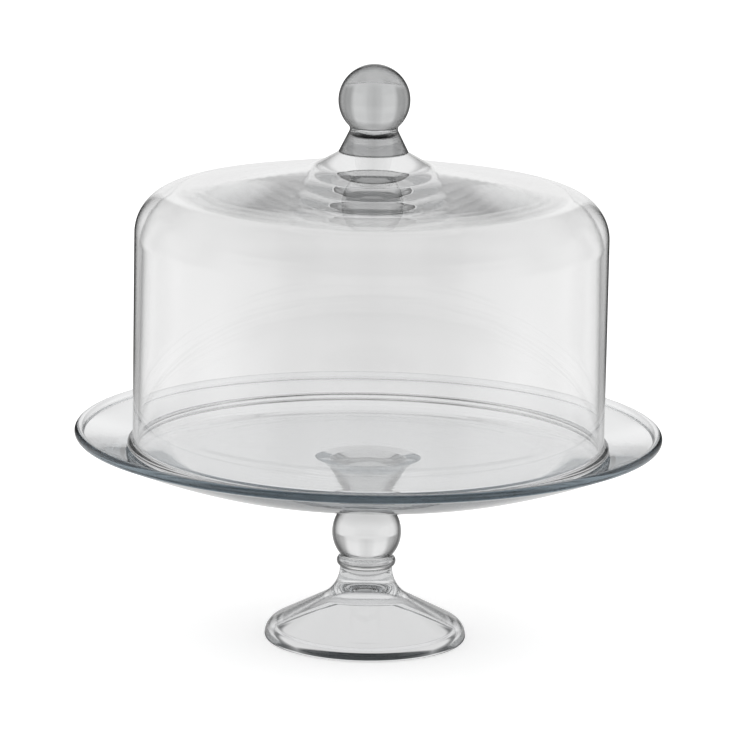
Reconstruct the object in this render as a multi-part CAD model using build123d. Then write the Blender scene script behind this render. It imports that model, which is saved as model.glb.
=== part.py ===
from build123d import *
import math
import os

# A footed glass cake stand with a domed glass cover.
# Millimetres. The origin is the centre of the foot's underside, on the table, and Z is up.
# Every piece is round about the Z axis. Its outline is drawn with the radius as X and the
# height as Y, and is then turned about the axis.

# Plate
plate_diameter = 333.0
plate_thickness = 10.5         # under the flat middle that the cake stands on
well_radius = 112.0            # where the flat middle ends and the brim begins to rise
rim_rise = 11.0                # middle of the rolled edge above the flat middle
rim_bead_radius = 2.6          # rolled edge
brim_in_bead = 1.2             # how far the brim runs into the rolled edge
brim_drop = 0.8                # its end, below the middle of the rolled edge
brim_blend = 1.0               # rounding where the brim meets the rolled edge
underside_inset = 0.5          # the flat underside ends this far inside the flat middle
underside_slope = 16.0         # rise of the brim's underside where it starts, degrees
underside_blend = 40.0
pad_height = 6.0               # raised pad in the middle of the underside
pad_root_radius = 29.0
pad_blend = 4.0

# Clear films that join the knob to the crown and the stem to the plate
film_thickness = 0.3
film_margin = 0.6              # the film stops this far inside the edge of the joint
knob_joint_radius = 19.6
stem_joint_radius = 21.6

# Foot
foot_radius = 57.3
foot_height = 41.8             # up to the stem
foot_neck_radius = 14.8
foot_flare_radius = 20.0       # hollow curve from the neck down to the slope
foot_edge_radius = 9.0         # swelling curve of the edge
foot_lower_round = 2.0
foot_edge_wall = 6.0
foot_hollow_radius = 26.0      # round top of the hollow underneath
foot_top_wall = 9.8            # glass between the hollow and the stem

# Stem
stem_height = 50.4
collar_radius = 16.8
collar_bead_radius = 3.2
collar_clear = 0.2             # between the foot and the collar's roundness
stem_ball_radius = 19.7
stem_ball_clear = 0.5          # between the foot and the lowest point of the ball
stem_throat_radius = 12.4      # small end of the flare under the plate
stem_throat_depth = 0.6        # that end, inside the surface of the ball
stem_blend = 3.0

# Dome
dome_radius = 133.6            # outside of the straight wall
dome_wall = 3.0                # at the open end
dome_wall_top = 4.6            # at the shoulder
dome_wall_height = 122.4       # from the open end up to the shoulder
dome_shoulder_radius = 24.1
seat_clearance = 0.3           # between the lip and the brim that it stands on
edge_bead_radius = 1.8         # rounded lip at the open end
edge_bead_offset = 1.1         # middle of the lip outside the straight wall
edge_blend = 2.5
edge_inner_round = 0.8
crown_slope = 10.8             # outside of the crown, degrees
shoulder_extra = 4.0           # how much rounder the shoulder is inside than even glass makes it
crown_inner_slope = 8.4        # inside of the crown next to the shoulder, degrees
crown_middle_slope = 4.5       # inside of the crown where it levels out, degrees
crown_middle_radius = 20.0
crown_pad_height = 8.0         # raised pad under the knob
crown_pad_root_radius = 33.5
crown_pad_blend = 15.0

# Knob
knob_radius = 20.2
knob_rise = 29.2               # middle of the ball above the joint
knob_throat_radius = 12.0      # small end of the flare
knob_throat_depth = 1.8        # that end, inside the surface of the ball
knob_blend = 3.0


def polar(centre, radius, degrees):
    """Point on a circle, at an angle counted from the direction of X."""
    angle = math.radians(degrees)
    return (centre[0] + radius * math.cos(angle), centre[1] + radius * math.sin(angle))


def outline(*edges):
    """Flat face inside a closed chain of lines and arcs, always seen from the same side."""
    face = make_face(Curve() + list(edges)).face()
    return Sketch() + (face if face.normal_at().Z > 0 else -face)


def round_corner(face, place, radius):
    """Round the corner of an outline that lies nearest to a place."""
    corner = face.vertices().sort_by_distance(Vector(*place))[0]
    return fillet(corner, radius)


def turned(face):
    """Solid made by turning the part of an outline right of the axis about Z."""
    corners = face.bounding_box()
    width = corners.max.X
    low = corners.min.Y
    high = corners.max.Y
    right_half = Pos(width / 2, (low + high) / 2) * Rectangle(width, high - low)
    return revolve(Plane.XZ * (face & right_half), Axis.Z, 360)


def slope_between(upper, upper_radius, lower, lower_radius):
    """Straight slope from a hollow curve above to a swelling curve below, as angle and ends.

    A negative upper_radius stands for a swelling curve above.
    """
    across = lower[0] - upper[0]
    down = upper[1] - lower[1]
    span = math.hypot(across, down)
    fall = math.atan2(down, across) - math.asin((upper_radius + lower_radius) / span)
    angle = math.degrees(fall)
    return angle, polar(upper, upper_radius, 270 - angle), polar(lower, lower_radius, 90 - angle)


def ball_with_flare(ball_radius, ball_height, throat_radius, throat_depth, joint, blend):
    """Outline of a ball whose neck widens from a throat inside the ball to a flat joint."""
    ball = Pos(0, ball_height) * Circle(ball_radius)
    side = 1 if joint[1] > ball_height else -1
    reach = math.sqrt((ball_radius - throat_depth) ** 2 - throat_radius ** 2)
    throat = (throat_radius, ball_height + side * reach)
    flare = outline(Polyline((0, ball_height), throat, joint, (0, joint[1]), close=True))
    return round_corner(ball + flare, throat, blend)


# Heights and places that follow from the sizes above
stem_top = foot_height + stem_height
stem_ball_height = foot_height + stem_ball_clear + stem_ball_radius
collar_height = foot_height + collar_clear + collar_bead_radius
pad_bottom = stem_top + film_thickness
plate_underside = pad_bottom + pad_height
well_height = plate_underside + plate_thickness
rim_height = well_height + rim_rise

# The brim is an arc that leaves the flat middle level and ends inside the rolled edge
rim_bead_ring = plate_diameter / 2 - rim_bead_radius
brim_span = rim_bead_ring - rim_bead_radius + brim_in_bead - well_radius
brim_rise = rim_rise - brim_drop
brim_curve_radius = (brim_span ** 2 + brim_rise ** 2) / (2 * brim_rise)
brim_centre = (well_radius, well_height + brim_curve_radius)

# The lip of the dome clears that arc by the seat clearance
edge_bead_ring = dome_radius + edge_bead_offset
lip_reach = brim_curve_radius - seat_clearance - edge_bead_radius
edge_bead_height = brim_centre[1] - math.sqrt(lip_reach ** 2 - (edge_bead_ring - well_radius) ** 2)
dome_bottom = edge_bead_height - edge_bead_radius
shoulder_centre = (dome_radius - dome_shoulder_radius, dome_bottom + dome_wall_height)
crown_start = polar(shoulder_centre, dome_shoulder_radius, 90 - crown_slope)
crown_rise = (crown_start[0] - crown_pad_root_radius) * math.tan(math.radians(crown_slope))
crown_pad_root = (crown_pad_root_radius, crown_start[1] + crown_rise)
crown_pad_top = crown_pad_root[1] + crown_pad_height
knob_bottom = crown_pad_top + film_thickness
knob_height = knob_bottom + knob_rise


def serving_plate():
    """Pressed plate: flat middle, rising brim, rolled edge, and a pad below for the stem."""
    sweep = math.degrees(math.atan2(brim_span, brim_curve_radius - brim_rise))
    brim = CenterArc(brim_centre, brim_curve_radius, 270, sweep)
    bead_centre = (rim_bead_ring, rim_height)
    under_start = (well_radius - underside_inset, plate_underside)
    under_end = (rim_bead_ring, rim_height - rim_bead_radius)
    underside = TangentArc(under_start, under_end, tangent=polar((0, 0), 1, underside_slope))
    pad_root = (pad_root_radius, plate_underside)
    pad_edge = (stem_joint_radius, pad_bottom)
    face = outline(
        Line((0, well_height), (well_radius, well_height)),
        brim,
        Line(brim @ 1, bead_centre),
        Line(bead_centre, under_end),
        underside,
        Line(under_start, pad_root),
        Line(pad_root, pad_edge),
        Line(pad_edge, (0, pad_bottom)),
        Line((0, pad_bottom), (0, well_height)),
    )
    face = round_corner(face, under_start, underside_blend)
    face = round_corner(face, pad_root, pad_blend)
    face += Pos(*bead_centre) * Circle(rim_bead_radius)
    face = round_corner(face, polar(bead_centre, rim_bead_radius, 200), brim_blend)
    return turned(face)


def pedestal_foot():
    """Pressed bell foot, hollow underneath, that the stem is joined to."""
    flare_centre = (foot_neck_radius + foot_flare_radius, foot_height)
    edge_centre = (foot_radius - foot_edge_radius, foot_lower_round)
    angle, slope_start, slope_end = slope_between(
        flare_centre, foot_flare_radius, edge_centre, foot_edge_radius)
    lower_centre = (foot_radius - foot_lower_round, foot_lower_round)

    inner_edge = foot_edge_radius - foot_edge_wall
    hollow_top = foot_height - foot_top_wall
    hollow_centre = (0, hollow_top - foot_hollow_radius)
    inner_angle, inner_start, inner_end = slope_between(
        hollow_centre, -foot_hollow_radius, edge_centre, inner_edge)
    mouth = edge_centre[0] + inner_edge

    face = outline(
        Line((0, foot_height), (foot_neck_radius, foot_height)),
        CenterArc(flare_centre, foot_flare_radius, 180, 90 - angle),
        Line(slope_start, slope_end),
        CenterArc(edge_centre, foot_edge_radius, 0, 90 - angle),
        CenterArc(lower_centre, foot_lower_round, -90, 90),
        Line((lower_centre[0], 0), (mouth, 0)),
        Line((mouth, 0), (mouth, foot_lower_round)),
        CenterArc(edge_centre, inner_edge, 0, 90 - inner_angle),
        Line(inner_end, inner_start),
        CenterArc(hollow_centre, foot_hollow_radius, 90 - inner_angle, inner_angle),
        Line((0, hollow_top), (0, foot_height)),
    )
    return turned(face)


def pedestal_stem():
    """Solid stem: a collar on the foot, a ball, and a flare that carries the plate."""
    joint = (stem_joint_radius, stem_top)
    face = ball_with_flare(stem_ball_radius, stem_ball_height, stem_throat_radius,
                           stem_throat_depth, joint, stem_blend)
    neck_low = (foot_neck_radius, foot_height)
    neck_high = (foot_neck_radius, stem_ball_height)
    face += outline(Polyline((0, foot_height), neck_low, neck_high, (0, stem_ball_height), close=True))
    collar_ring = collar_radius - collar_bead_radius
    face += Pos(collar_ring, collar_height) * Circle(collar_bead_radius)
    return turned(face)


def dome_shell():
    """Cover: rounded lip, straight wall, round shoulder, and a crown thick in the middle."""
    inner_bottom = (dome_radius - dome_wall, dome_bottom)
    shoulder_end = (dome_radius, shoulder_centre[1])
    wall_foot = (dome_radius, edge_bead_height)
    shoulder = CenterArc(shoulder_centre, dome_shoulder_radius, 0, 90 - crown_slope)
    pad_edge = (knob_joint_radius, crown_pad_top)

    inner_radius = dome_shoulder_radius - dome_wall_top + shoulder_extra
    inner_centre = (shoulder_centre[0] - shoulder_extra, shoulder_centre[1] - shoulder_extra)
    inner_shoulder = CenterArc(inner_centre, inner_radius, 0, 90 - crown_inner_slope)
    crown_outer = inner_shoulder @ 1
    start_lean = math.sin(math.radians(crown_inner_slope))
    end_lean = math.sin(math.radians(crown_middle_slope))
    crown_radius = (crown_outer.X - crown_middle_radius) / (start_lean - end_lean)
    crown_centre = polar((crown_outer.X, crown_outer.Y), -crown_radius, 90 - crown_inner_slope)
    crown_turn = crown_inner_slope - crown_middle_slope
    crown_inside = CenterArc(crown_centre, crown_radius, 90 - crown_inner_slope, crown_turn)
    middle_radius = crown_middle_radius / end_lean
    middle_end = crown_inside @ 1
    middle_centre = (0, polar((middle_end.X, middle_end.Y), -middle_radius,
                              90 - crown_middle_slope)[1])
    middle = CenterArc(middle_centre, middle_radius, 90 - crown_middle_slope, crown_middle_slope)

    face = outline(
        Line(inner_bottom, (edge_bead_ring, dome_bottom)),
        Line((edge_bead_ring, dome_bottom), (edge_bead_ring, edge_bead_height)),
        Line((edge_bead_ring, edge_bead_height), wall_foot),
        Line(wall_foot, shoulder_end),
        shoulder,
        Line(crown_start, crown_pad_root),
        Line(crown_pad_root, pad_edge),
        Line(pad_edge, (0, crown_pad_top)),
        Line((0, crown_pad_top), middle @ 1),
        middle,
        crown_inside,
        inner_shoulder,
        Line(inner_shoulder @ 0, inner_bottom),
    )
    face = round_corner(face, crown_pad_root, crown_pad_blend)
    face = round_corner(face, inner_bottom, edge_inner_round)
    face += Pos(edge_bead_ring, edge_bead_height) * Circle(edge_bead_radius)
    face = round_corner(face, (dome_radius, edge_bead_height + edge_bead_radius), edge_blend)
    return turned(face)


def dome_knob():
    """Solid ball knob on a flared neck."""
    joint = (knob_joint_radius, knob_bottom)
    return turned(ball_with_flare(knob_radius, knob_height, knob_throat_radius,
                                  knob_throat_depth, joint, knob_blend))


def joint_film(joint_radius, bottom):
    """Clear round film between two pieces of glass."""
    middle = bottom + film_thickness / 2
    return Pos(0, 0, middle) * Cylinder(joint_radius - film_margin, film_thickness)


pieces = {
    "pedestal_foot": pedestal_foot(),
    "pedestal_stem": pedestal_stem(),
    "plate_joint_film": joint_film(stem_joint_radius, stem_top),
    "serving_plate": serving_plate(),
    "dome_shell": dome_shell(),
    "knob_joint_film": joint_film(knob_joint_radius, crown_pad_top),
    "dome_knob": dome_knob(),
}

os.makedirs("parts", exist_ok=True)
for name, piece in pieces.items():
    export_step(piece, f"parts/{name}.step")
    size = piece.bounding_box()
    print(f"{name}: {piece.volume:.0f} cubic mm, from {size.min.Z:.2f} to {size.max.Z:.2f} high")
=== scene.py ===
# %% [markdown]
# A footed glass cake stand with a domed glass cover.
# The stand is three pieces of glass joined together: a hollow bell foot, a solid stem and a
# broad plate. The cover is a thin blown shell with a solid ball knob on top, and it simply
# stands on the brim of the plate. Every piece is round about one upright axis, as if it had been
# turned on a lathe, so this lesson builds one lathe with Geometry Nodes and feeds it one section
# after another. What makes glass look like glass is not its colour but what it bends and
# reflects, so half of the work goes into the glass material and the light around it.

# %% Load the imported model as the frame
import math
import bpy
from mathutils import Matrix, Vector


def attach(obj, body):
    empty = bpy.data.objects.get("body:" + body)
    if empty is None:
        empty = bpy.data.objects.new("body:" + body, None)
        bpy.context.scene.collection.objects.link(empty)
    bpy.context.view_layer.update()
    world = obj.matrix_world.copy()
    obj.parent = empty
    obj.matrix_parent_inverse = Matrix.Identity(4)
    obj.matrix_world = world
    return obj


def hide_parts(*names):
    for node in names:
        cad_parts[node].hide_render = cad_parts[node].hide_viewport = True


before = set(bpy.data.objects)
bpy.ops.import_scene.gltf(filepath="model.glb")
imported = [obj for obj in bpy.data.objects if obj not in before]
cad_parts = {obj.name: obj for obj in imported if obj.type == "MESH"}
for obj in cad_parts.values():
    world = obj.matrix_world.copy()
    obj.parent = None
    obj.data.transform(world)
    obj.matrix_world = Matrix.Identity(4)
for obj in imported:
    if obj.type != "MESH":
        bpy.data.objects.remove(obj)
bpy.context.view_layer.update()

print("solids:", sorted(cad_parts))

# %% [markdown]
# The sections are drawn in millimetres, like a glassmaker's mould drawing, and the lathe turns
# them into metres at the end. The sizes below are the ones that the solids were made with.

# %% Sizes of the stand, in millimetres
MM = 0.001

foot_radius = 57.3
foot_height = 41.8
foot_neck_radius = 14.8
foot_flare_radius = 20.0
foot_edge_radius = 9.0
foot_lower_round = 2.0
foot_inner_round = 0.6
foot_edge_wall = 6.0
foot_hollow_radius = 26.0
foot_top_wall = 9.8

stem_height = 50.4
collar_radius = 16.8
collar_bead_radius = 3.2
collar_clear = 0.2
stem_ball_radius = 19.7
stem_ball_clear = 0.5
stem_throat_radius = 12.4
stem_throat_depth = 0.6
stem_blend = 3.0

plate_radius = 166.48          # a hair inside the solid, so that the two share one box
plate_thickness = 10.5
well_radius = 112.0
rim_rise = 11.0
rim_bead_radius = 2.6
brim_in_bead = 1.2
brim_drop = 0.8
brim_blend = 1.0
underside_inset = 0.5
underside_slope = 16.0
underside_blend = 40.0
pad_height = 6.0
pad_root_radius = 29.0
pad_blend = 4.0

film_thickness = 0.3
film_margin = 0.6
stem_joint_radius = 21.6
knob_joint_radius = 19.6

stem_top = foot_height + stem_height
pad_bottom = stem_top + film_thickness
plate_underside = pad_bottom + pad_height
well_height = plate_underside + plate_thickness
rim_height = well_height + rim_rise
print("the cake stands", round(well_height, 1), "mm above the table")

# %% [markdown]
# The cover has its own mould, so it has its own sizes. Its wall is thin and a little thicker
# towards the shoulder, and its crown has a round pad in the middle. The knob is made apart and
# joined on afterwards. How high the cover sits isn't typed in: it follows from the lip's rest on
# the brim.

# %% Sizes of the cover, in millimetres
dome_radius = 133.6
dome_wall = 3.0
dome_wall_top = 4.6
dome_wall_height = 122.4
dome_shoulder_radius = 24.1
seat_clearance = 0.3
edge_bead_radius = 1.8
edge_bead_offset = 1.1
edge_blend = 2.5
edge_inner_round = 0.8
crown_slope = 10.8
shoulder_extra = 4.0
crown_inner_slope = 8.4
crown_middle_slope = 4.5
crown_middle_radius = 20.0
crown_pad_height = 8.0
crown_pad_root_radius = 33.5
crown_pad_blend = 15.0

knob_radius = 20.2
knob_rise = 29.2
knob_throat_radius = 12.0
knob_throat_depth = 1.8
knob_blend = 3.0
print("the cover is", round(2 * dome_radius, 1), "mm across")

# %% [markdown]
# A section is a chain of points, each a radius and a height. Glass bends light by the lean of
# its surface, so the points have to follow every curve closely, and a straight run gets a few
# extra points near its two ends: the smooth shading then can't smear the lean of a curve over
# the whole of a flat wall.

# %% Arcs and straight runs
wide_curve = 8.0          # above this radius the points lie closer
fine_turn, coarse_turn = 2.5, 6.0          # degrees from point to point
longest_chord = 2.6
same_point = 1e-4


def arc(centre, radius, start, end):
    """Points on an arc, between two angles in degrees counted from outwards to upwards."""
    by_turn = abs(end - start) / (fine_turn if radius > wide_curve else coarse_turn)
    by_chord = math.radians(abs(end - start)) * radius / longest_chord
    count = max(3, math.ceil(by_turn), math.ceil(by_chord))
    angles = [math.radians(start + (end - start) * i / count) for i in range(count + 1)]
    return [(centre[0] + radius * math.cos(a), centre[1] + radius * math.sin(a)) for a in angles]


def run(start, end, guard=0.12, spacing=9.0):
    """Points on a straight run, with a guard point close to each of its ends."""
    length = math.dist(start, end)
    if length < 4 * guard:
        return [start, end]
    count = max(1, math.ceil(length / spacing))
    inner = [i / count for i in range(1, count)]
    shares = [0.0, guard / length] + inner + [1 - guard / length, 1.0]
    return [tuple(a + (b - a) * s for a, b in zip(start, end)) for s in shares]


def chain(*parts):
    """One section from runs and arcs, without the points that two neighbours share."""
    points = []
    for part in parts:
        for point in part:
            if not points or math.dist(point, points[-1]) > same_point:
                points.append(point)
    return points


print("a quarter of the stem's ball takes", len(arc((0, 0), stem_ball_radius, 0, 90)), "points")

# %% [markdown]
# Nearly every corner of pressed glass is rounded, because hot glass flows. Three kinds of
# rounding are enough here: between two straight runs, between two curves, and between a straight
# run and a curve.

# %% Roundings
def angle_to(centre, point):
    """Direction from a centre to a point, in degrees."""
    return math.degrees(math.atan2(point[1] - centre[1], point[0] - centre[0]))


def short_arc(centre, radius, start, end):
    """The arc from one point to another round a centre, the short way."""
    first = angle_to(centre, start)
    turn = (angle_to(centre, end) - first + 180) % 360 - 180
    return arc(centre, radius, first, first + turn)


def circles_meet(first, first_radius, second, second_radius, side):
    """Where two circles cross, to the left (1) or right (-1) of the way from first to second."""
    span = math.dist(first, second)
    along = (first_radius ** 2 - second_radius ** 2 + span ** 2) / (2 * span)
    off = side * math.sqrt(first_radius ** 2 - along ** 2)
    way = ((second[0] - first[0]) / span, (second[1] - first[1]) / span)
    return (first[0] + along * way[0] - off * way[1], first[1] + along * way[1] + off * way[0])


def toward(start, end, distance):
    """Point at a distance from start, on the way to end."""
    share = distance / math.dist(start, end)
    return (start[0] + (end[0] - start[0]) * share, start[1] + (end[1] - start[1]) * share)


def rounded(before, corner, after, radius):
    """Arc that rounds a corner between two straight runs."""
    to_before = toward(corner, before, 1.0)
    to_after = toward(corner, after, 1.0)
    middle = ((to_before[0] + to_after[0]) / 2, (to_before[1] + to_after[1]) / 2)
    half = math.asin(math.dist(to_before, to_after) / 2)
    setback = radius / math.tan(half)
    centre = toward(corner, middle, radius / math.sin(half))
    return short_arc(centre, radius, toward(corner, before, setback), toward(corner, after, setback))


def ball_to_slope(ball_centre, ball_radius, slope_start, slope_end, radius):
    """Rounding between a ball and a slope outside it: its centre and its two ends."""
    length = math.dist(slope_start, slope_end)
    way = ((slope_end[0] - slope_start[0]) / length, (slope_end[1] - slope_start[1]) / length)
    out = (abs(way[1]), -way[0] if way[1] > 0 else way[0])
    base = (slope_start[0] + radius * out[0], slope_start[1] + radius * out[1])
    from_ball = (base[0] - ball_centre[0], base[1] - ball_centre[1])
    along = from_ball[0] * way[0] + from_ball[1] * way[1]
    miss = from_ball[0] ** 2 + from_ball[1] ** 2 - (ball_radius + radius) ** 2
    step = -along + math.sqrt(along ** 2 - miss)
    centre = (base[0] + step * way[0], base[1] + step * way[1])
    on_slope = (centre[0] - radius * out[0], centre[1] - radius * out[1])
    return centre, toward(ball_centre, centre, ball_radius), on_slope


def slope_between(upper, upper_radius, lower, lower_radius):
    """Straight slope from a hollow curve above to a swelling curve below: its fall in degrees.

    A negative upper_radius stands for a swelling curve above.
    """
    across = lower[0] - upper[0]
    down = upper[1] - lower[1]
    span = math.hypot(across, down)
    return math.degrees(math.atan2(down, across) - math.asin((upper_radius + lower_radius) / span))


foot_flare = (foot_neck_radius + foot_flare_radius, foot_height)
foot_edge = (foot_radius - foot_edge_radius, foot_lower_round)
foot_fall = slope_between(foot_flare, foot_flare_radius, foot_edge, foot_edge_radius)
print("the foot's slope falls", round(foot_fall, 1), "degrees")

# %% [markdown]
# The foot is a bell, pressed between a mould and a plunger, so it is hollow underneath. The hollow
# has a round top, so the glass is thickest at the neck and in the rolled edge. Its section starts
# at the top of the hollow, runs out under the slope to the ring that stands on the table, goes
# round that ring, and comes back over the outside to the neck.

# %% Section of the foot
def foot_section():
    """Outline of the bell foot, from the hollow to the neck."""
    lower = (foot_radius - foot_lower_round, foot_lower_round)
    inner_edge = foot_edge_radius - foot_edge_wall
    top = (0, foot_height - foot_top_wall - foot_hollow_radius)
    inner_fall = slope_between(top, -foot_hollow_radius, foot_edge, inner_edge)
    mouth = foot_edge[0] + inner_edge
    lip = rounded((mouth, foot_lower_round), (mouth, 0), (lower[0], 0), foot_inner_round)

    hollow = arc(top, foot_hollow_radius, 90, 90 - inner_fall)
    hollow_edge = arc(foot_edge, inner_edge, 90 - inner_fall, 0)
    outer_edge = arc(foot_edge, foot_edge_radius, 0, 90 - foot_fall)
    outer_flare = arc(foot_flare, foot_flare_radius, 270 - foot_fall, 180)
    return chain(
        hollow, run(hollow[-1], hollow_edge[0]), hollow_edge,
        run((mouth, foot_lower_round), lip[0]), lip, run(lip[-1], (lower[0], 0)),
        arc(lower, foot_lower_round, -90, 0), outer_edge, run(outer_edge[-1], outer_flare[0]),
        outer_flare, run((foot_neck_radius, foot_height), (0, foot_height)),
    )


print("foot:", len(foot_section()), "points")

# %% [markdown]
# The stem is one solid lump of glass: a collar, a ball, and a flare that carries the plate. It
# could be three simple shapes put together, but glass shows every face inside it. One outline
# keeps it a single body. It reaches a hair into the foot, because even a thin gap of air would
# shine like a mirror.

# %% Section of the stem
joint_overlap = 0.08


def stem_section():
    """Outline of the solid stem: a collar, a ball, and the flare that carries the plate."""
    collar = (collar_radius - collar_bead_radius, foot_height + collar_clear + collar_bead_radius)
    ball = (0, foot_height + stem_ball_clear + stem_ball_radius)
    reach = math.sqrt((stem_ball_radius - stem_throat_depth) ** 2 - stem_throat_radius ** 2)
    throat = (stem_throat_radius, ball[1] + reach)
    joint = (stem_joint_radius, stem_top)
    bottom = foot_height - joint_overlap

    root_round = 0.4
    root = (foot_neck_radius + root_round,
            collar[1] - math.sqrt((collar_bead_radius + root_round) ** 2
                                  - (foot_neck_radius + root_round - collar[0]) ** 2))
    crease_round = 1.0
    crease = circles_meet(collar, collar_bead_radius + crease_round,
                          ball, stem_ball_radius + crease_round, -1)
    blend, ball_end, slope_start = ball_to_slope(ball, stem_ball_radius, throat, joint, stem_blend)
    collar_start = toward(collar, root, collar_bead_radius)
    collar_end = toward(collar, crease, collar_bead_radius)
    ball_start = toward(ball, crease, stem_ball_radius)
    return chain(
        run((0, bottom), (foot_neck_radius, bottom)),
        short_arc(root, root_round, (foot_neck_radius, root[1]), collar_start),
        arc(collar, collar_bead_radius, angle_to(collar, collar_start), angle_to(collar, collar_end)),
        short_arc(crease, crease_round, collar_end, ball_start),
        arc(ball, stem_ball_radius, angle_to(ball, ball_start), angle_to(ball, ball_end)),
        short_arc(blend, stem_blend, ball_end, slope_start),
        run(slope_start, joint), run(joint, (0, stem_top)),
    )


print("stem:", len(stem_section()), "points")

# %% [markdown]
# The plate has a flat middle, a brim that rises in one slow curve, and a rolled edge that is
# nearly a full circle. A bevelled disc would look cut, not pressed. Here the curve follows from
# how far the brim reaches and how high it rises, and the underside has a flatter curve of its own,
# with a pad where the stem joins.

# %% Section of the plate
brim_span = plate_radius - 2 * rim_bead_radius + brim_in_bead - well_radius
brim_rise = rim_rise - brim_drop
brim_curve_radius = (brim_span ** 2 + brim_rise ** 2) / (2 * brim_rise)
brim_centre = (well_radius, well_height + brim_curve_radius)


def plate_section():
    """Outline of the plate: pad, underside, rolled edge, brim and flat middle."""
    bead = (plate_radius - rim_bead_radius, rim_height)
    pad_edge = (stem_joint_radius, pad_bottom)
    pad_root = (pad_root_radius, plate_underside)
    under_start = (well_radius - underside_inset, plate_underside)
    under_end = (bead[0], bead[1] - rim_bead_radius)

    lean = math.radians(underside_slope)
    across, up = under_end[0] - under_start[0], under_end[1] - under_start[1]
    under_radius = (across ** 2 + up ** 2) / (2 * (up * math.cos(lean) - across * math.sin(lean)))
    under = (under_start[0] - under_radius * math.sin(lean),
             under_start[1] + under_radius * math.cos(lean))
    blend_height = plate_underside + underside_blend
    blend = (under[0] + math.sqrt((under_radius - underside_blend) ** 2
                                  - (under[1] - blend_height) ** 2), blend_height)
    blend_end = toward(under, blend, under_radius)

    notch = circles_meet(brim_centre, brim_curve_radius - brim_blend,
                         bead, rim_bead_radius + brim_blend, -1)
    bead_end = toward(bead, notch, rim_bead_radius)
    brim_end = toward(brim_centre, notch, brim_curve_radius)
    pad_round = rounded(pad_edge, pad_root, under_start, pad_blend)
    return chain(
        run((0, pad_bottom), pad_edge), run(pad_edge, pad_round[0]), pad_round,
        run(pad_round[-1], (blend[0], plate_underside)),
        arc(blend, underside_blend, -90, angle_to(blend, blend_end)),
        arc(under, under_radius, angle_to(under, blend_end), angle_to(under, under_end)),
        arc(bead, rim_bead_radius, -90, angle_to(bead, bead_end) % 360),
        short_arc(notch, brim_blend, bead_end, brim_end),
        arc(brim_centre, brim_curve_radius, angle_to(brim_centre, brim_end), -90),
        run((well_radius, well_height), (0, well_height)),
    )


print("plate:", len(plate_section()), "points")

# %% [markdown]
# The cover is blown into a mould: a straight wall, a round shoulder, and a crown that thickens
# towards the middle, where the hot glass gathered. A Solidify modifier would make the wall even
# everywhere, so the inside is drawn with curves of its own. The lip is a small roll of glass that
# rests on the curve of the brim.

# %% Section of the shell
edge_bead_ring = dome_radius + edge_bead_offset
lip_reach = brim_curve_radius - seat_clearance - edge_bead_radius
lip_height = brim_centre[1] - math.sqrt(lip_reach ** 2 - (edge_bead_ring - well_radius) ** 2)
dome_bottom = lip_height - edge_bead_radius
shoulder_height = dome_bottom + dome_wall_height
shoulder_centre = (dome_radius - dome_shoulder_radius, shoulder_height)
crown_start = arc(shoulder_centre, dome_shoulder_radius, 0, 90 - crown_slope)[-1]
crown_pad_root = (crown_pad_root_radius, crown_start[1]
                  + (crown_start[0] - crown_pad_root_radius) * math.tan(math.radians(crown_slope)))
crown_pad_top = crown_pad_root[1] + crown_pad_height


def shell_section():
    """Outline of the cover: inside of the crown and wall, the lip, and the outside back up."""
    lip = (edge_bead_ring, lip_height)
    inner_corner = (shoulder_centre[0] - shoulder_extra, shoulder_centre[1] - shoulder_extra)
    inner_shoulder = arc(inner_corner, dome_shoulder_radius - dome_wall_top + shoulder_extra,
                         90 - crown_inner_slope, 0)
    start_lean = math.sin(math.radians(crown_inner_slope))
    end_lean = math.sin(math.radians(crown_middle_slope))
    crown_radius = (inner_shoulder[0][0] - crown_middle_radius) / (start_lean - end_lean)
    crown_lean = math.radians(crown_inner_slope)
    crown = (inner_shoulder[0][0] - crown_radius * math.sin(crown_lean),
             inner_shoulder[0][1] - crown_radius * math.cos(crown_lean))
    crown_inside = arc(crown, crown_radius, 90 - crown_middle_slope, 90 - crown_inner_slope)
    middle_radius = crown_middle_radius / end_lean
    middle = (0, crown_inside[0][1] - middle_radius * math.cos(math.radians(crown_middle_slope)))

    foot_inner = (dome_radius - dome_wall, dome_bottom)
    wall_top = (dome_radius - dome_wall_top, inner_corner[1])
    inner_round = rounded(wall_top, foot_inner, (lip[0], dome_bottom), edge_inner_round)
    blend = (dome_radius + edge_blend, lip_height + math.sqrt(
        (edge_bead_radius + edge_blend) ** 2 - (dome_radius + edge_blend - lip[0]) ** 2))
    lip_end = toward(lip, blend, edge_bead_radius)
    pad_edge = (knob_joint_radius, crown_pad_top)
    pad_round = rounded(crown_start, crown_pad_root, pad_edge, crown_pad_blend)
    return chain(
        arc(middle, middle_radius, 90, 90 - crown_middle_slope), crown_inside, inner_shoulder,
        run(wall_top, inner_round[0]), inner_round, run(inner_round[-1], (lip[0], dome_bottom)),
        arc(lip, edge_bead_radius, -90, angle_to(lip, lip_end)),
        short_arc(blend, edge_blend, lip_end, (dome_radius, blend[1])),
        run((dome_radius, blend[1]), (dome_radius, shoulder_height)),
        arc(shoulder_centre, dome_shoulder_radius, 0, 90 - crown_slope),
        run(crown_start, pad_round[0]), pad_round, run(pad_round[-1], pad_edge),
        run(pad_edge, (0, crown_pad_top)),
    )


print("shell:", len(shell_section()), "points")

# %% [markdown]
# The knob is a solid ball on a flared neck. A ball of glass is a strong lens that turns the room
# upside down, and a coarse sphere would break that picture into facets. So the ball is one long
# arc of close points, blended into the neck with a small hollow curve.

# %% Section of the knob
knob_bottom = crown_pad_top + film_thickness
knob_height = knob_bottom + knob_rise


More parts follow.
